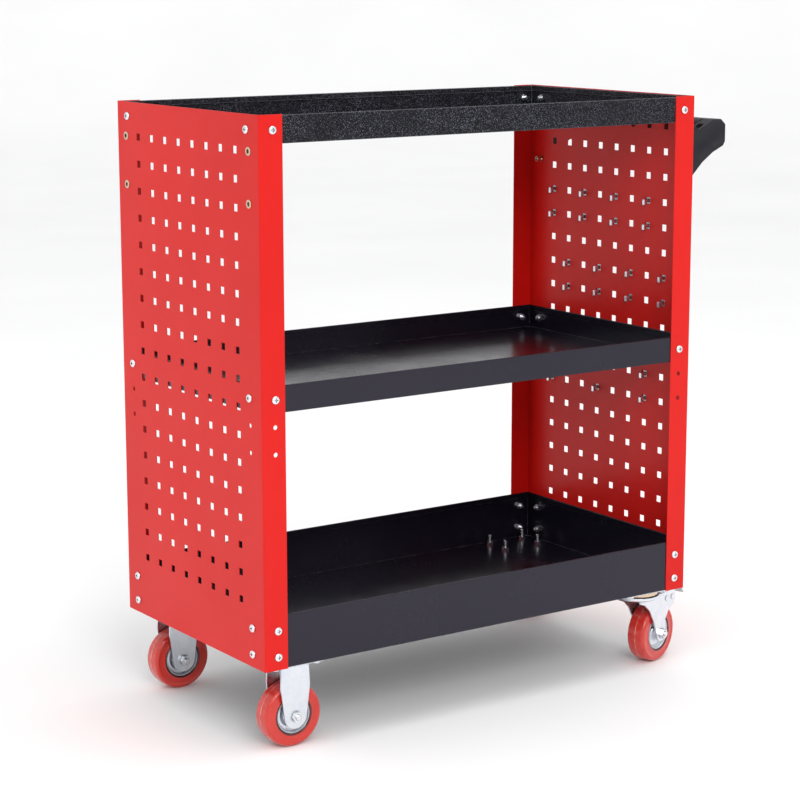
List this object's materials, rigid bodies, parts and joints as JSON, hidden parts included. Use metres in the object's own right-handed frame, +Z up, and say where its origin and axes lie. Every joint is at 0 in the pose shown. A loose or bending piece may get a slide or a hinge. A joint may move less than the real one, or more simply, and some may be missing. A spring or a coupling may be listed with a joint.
{
  "type": "rolling tool trolley",
  "caption": "Open rolling tool trolley: black sheet trays between red pegboard side panels, a moulded push handle and casters, rigid at one end and braked swivels at the other.",
  "frame": {"origin": "on the floor, under the middle of the whole trolley", "axes": "+X along the trolley's length towards its push handle, +Y to the rear, +Z up"},
  "size_m": [0.8232, 0.3944, 0.867],
  "materials": {
    "red_panel": "glossy red powder coat",
    "speckled_black": "hammered black powder coat",
    "gloss_black": "smooth gloss black powder coat",
    "zinc_fastener": "bright zinc",
    "gold_zinc": "yellow zinc",
    "black_plastic": "fine-grained moulded plastic",
    "zinc_sheet": "bright zinc-plated pressed steel",
    "red_tyre": "glossy red polyurethane"
  },
  "bodies": {
    "cart": {"left_side_panel": "red_panel", "right_side_panel": "red_panel", "top_tray": "speckled_black", "middle_tray": "gloss_black", "bottom_tray": "gloss_black", "top_tray_screws": "zinc_fastener", "top_tray_nuts": "zinc_fastener", "middle_tray_screws": "zinc_fastener", "middle_tray_nuts": "zinc_fastener", "bottom_tray_screws": "zinc_fastener", "bottom_tray_nuts": "zinc_fastener", "left_rivet_nuts": "gold_zinc", "right_rivet_nuts": "gold_zinc", "handle_screws": "zinc_fastener", "front_handle_bracket": "black_plastic", "rear_handle_bracket": "black_plastic", "handle_grip": "black_plastic", "hooks_top_row": "zinc_sheet", "hooks_middle_row": "zinc_sheet", "hooks_bottom_row": "zinc_sheet", "caster_bolts": "zinc_fastener", "caster_nuts": "zinc_fastener", "front_left_bracket": "zinc_sheet", "front_left_axle_bolt": "zinc_fastener", "front_left_axle_nut": "zinc_fastener", "front_left_bush": "zinc_fastener", "rear_left_bracket": "zinc_sheet", "rear_left_axle_bolt": "zinc_fastener", "rear_left_axle_nut": "zinc_fastener", "rear_left_bush": "zinc_fastener", "front_right_plate": "zinc_sheet", "front_right_kingpin": "zinc_fastener", "front_right_ball_race": "gold_zinc", "rear_right_plate": "zinc_sheet", "rear_right_kingpin": "zinc_fastener", "rear_right_ball_race": "gold_zinc"},
    "front_left_wheel": {"front_left_hub": "zinc_sheet", "front_left_tyre": "red_tyre"},
    "rear_left_wheel": {"rear_left_hub": "zinc_sheet", "rear_left_tyre": "red_tyre"},
    "front_right_swivel": {"front_right_fork": "zinc_sheet", "front_right_axle_bolt": "zinc_fastener", "front_right_axle_nut": "zinc_fastener", "front_right_bush": "zinc_fastener", "front_right_brake_pins": "zinc_sheet", "front_right_brake_shoe": "zinc_sheet", "front_right_balls": "zinc_fastener"},
    "front_right_wheel": {"front_right_hub": "zinc_sheet", "front_right_tyre": "red_tyre"},
    "front_right_pedal": {"front_right_brake_pedal": "zinc_sheet"},
    "rear_right_swivel": {"rear_right_fork": "zinc_sheet", "rear_right_axle_bolt": "zinc_fastener", "rear_right_axle_nut": "zinc_fastener", "rear_right_bush": "zinc_fastener", "rear_right_brake_pins": "zinc_sheet", "rear_right_brake_shoe": "zinc_sheet", "rear_right_balls": "zinc_fastener"},
    "rear_right_wheel": {"rear_right_hub": "zinc_sheet", "rear_right_tyre": "red_tyre"},
    "rear_right_pedal": {"rear_right_brake_pedal": "zinc_sheet"}
  },
  "joints": [
    {"name": "front_left_wheel_spin", "type": "hinge", "parent": "cart", "child": "front_left_wheel", "pos_m": [-0.3499, -0.156, 0.045], "axis": [0, 1, 0], "continuous": true},
    {"name": "rear_left_wheel_spin", "type": "hinge", "parent": "cart", "child": "rear_left_wheel", "pos_m": [-0.3499, 0.156, 0.045], "axis": [0, 1, 0], "continuous": true},
    {"name": "front_right_caster_swivel", "type": "hinge", "parent": "cart", "child": "front_right_swivel", "pos_m": [0.2781, -0.156, 0.111], "axis": [0, 0, 1], "continuous": true},
    {"name": "front_right_wheel_spin", "type": "hinge", "parent": "front_right_swivel", "child": "front_right_wheel", "pos_m": [0.31444, -0.14489, 0.045], "axis": [-0.2924, 0.9563, 0], "continuous": true},
    {"name": "front_right_pedal_press", "type": "hinge", "parent": "front_right_swivel", "child": "front_right_pedal", "pos_m": [0.34217, -0.13641, 0.0975], "axis": [-0.2924, 0.9563, 0], "range_deg": [0, 14]},
    {"name": "rear_right_caster_swivel", "type": "hinge", "parent": "cart", "child": "rear_right_swivel", "pos_m": [0.2781, 0.156, 0.111], "axis": [0, 0, 1], "continuous": true},
    {"name": "rear_right_wheel_spin", "type": "hinge", "parent": "rear_right_swivel", "child": "rear_right_wheel", "pos_m": [0.3161, 0.156, 0.045], "axis": [0, 1, 0], "continuous": true},
    {"name": "rear_right_pedal_press", "type": "hinge", "parent": "rear_right_swivel", "child": "rear_right_pedal", "pos_m": [0.3451, 0.156, 0.0975], "axis": [0, 1, 0], "range_deg": [0, 14]}
  ]
}
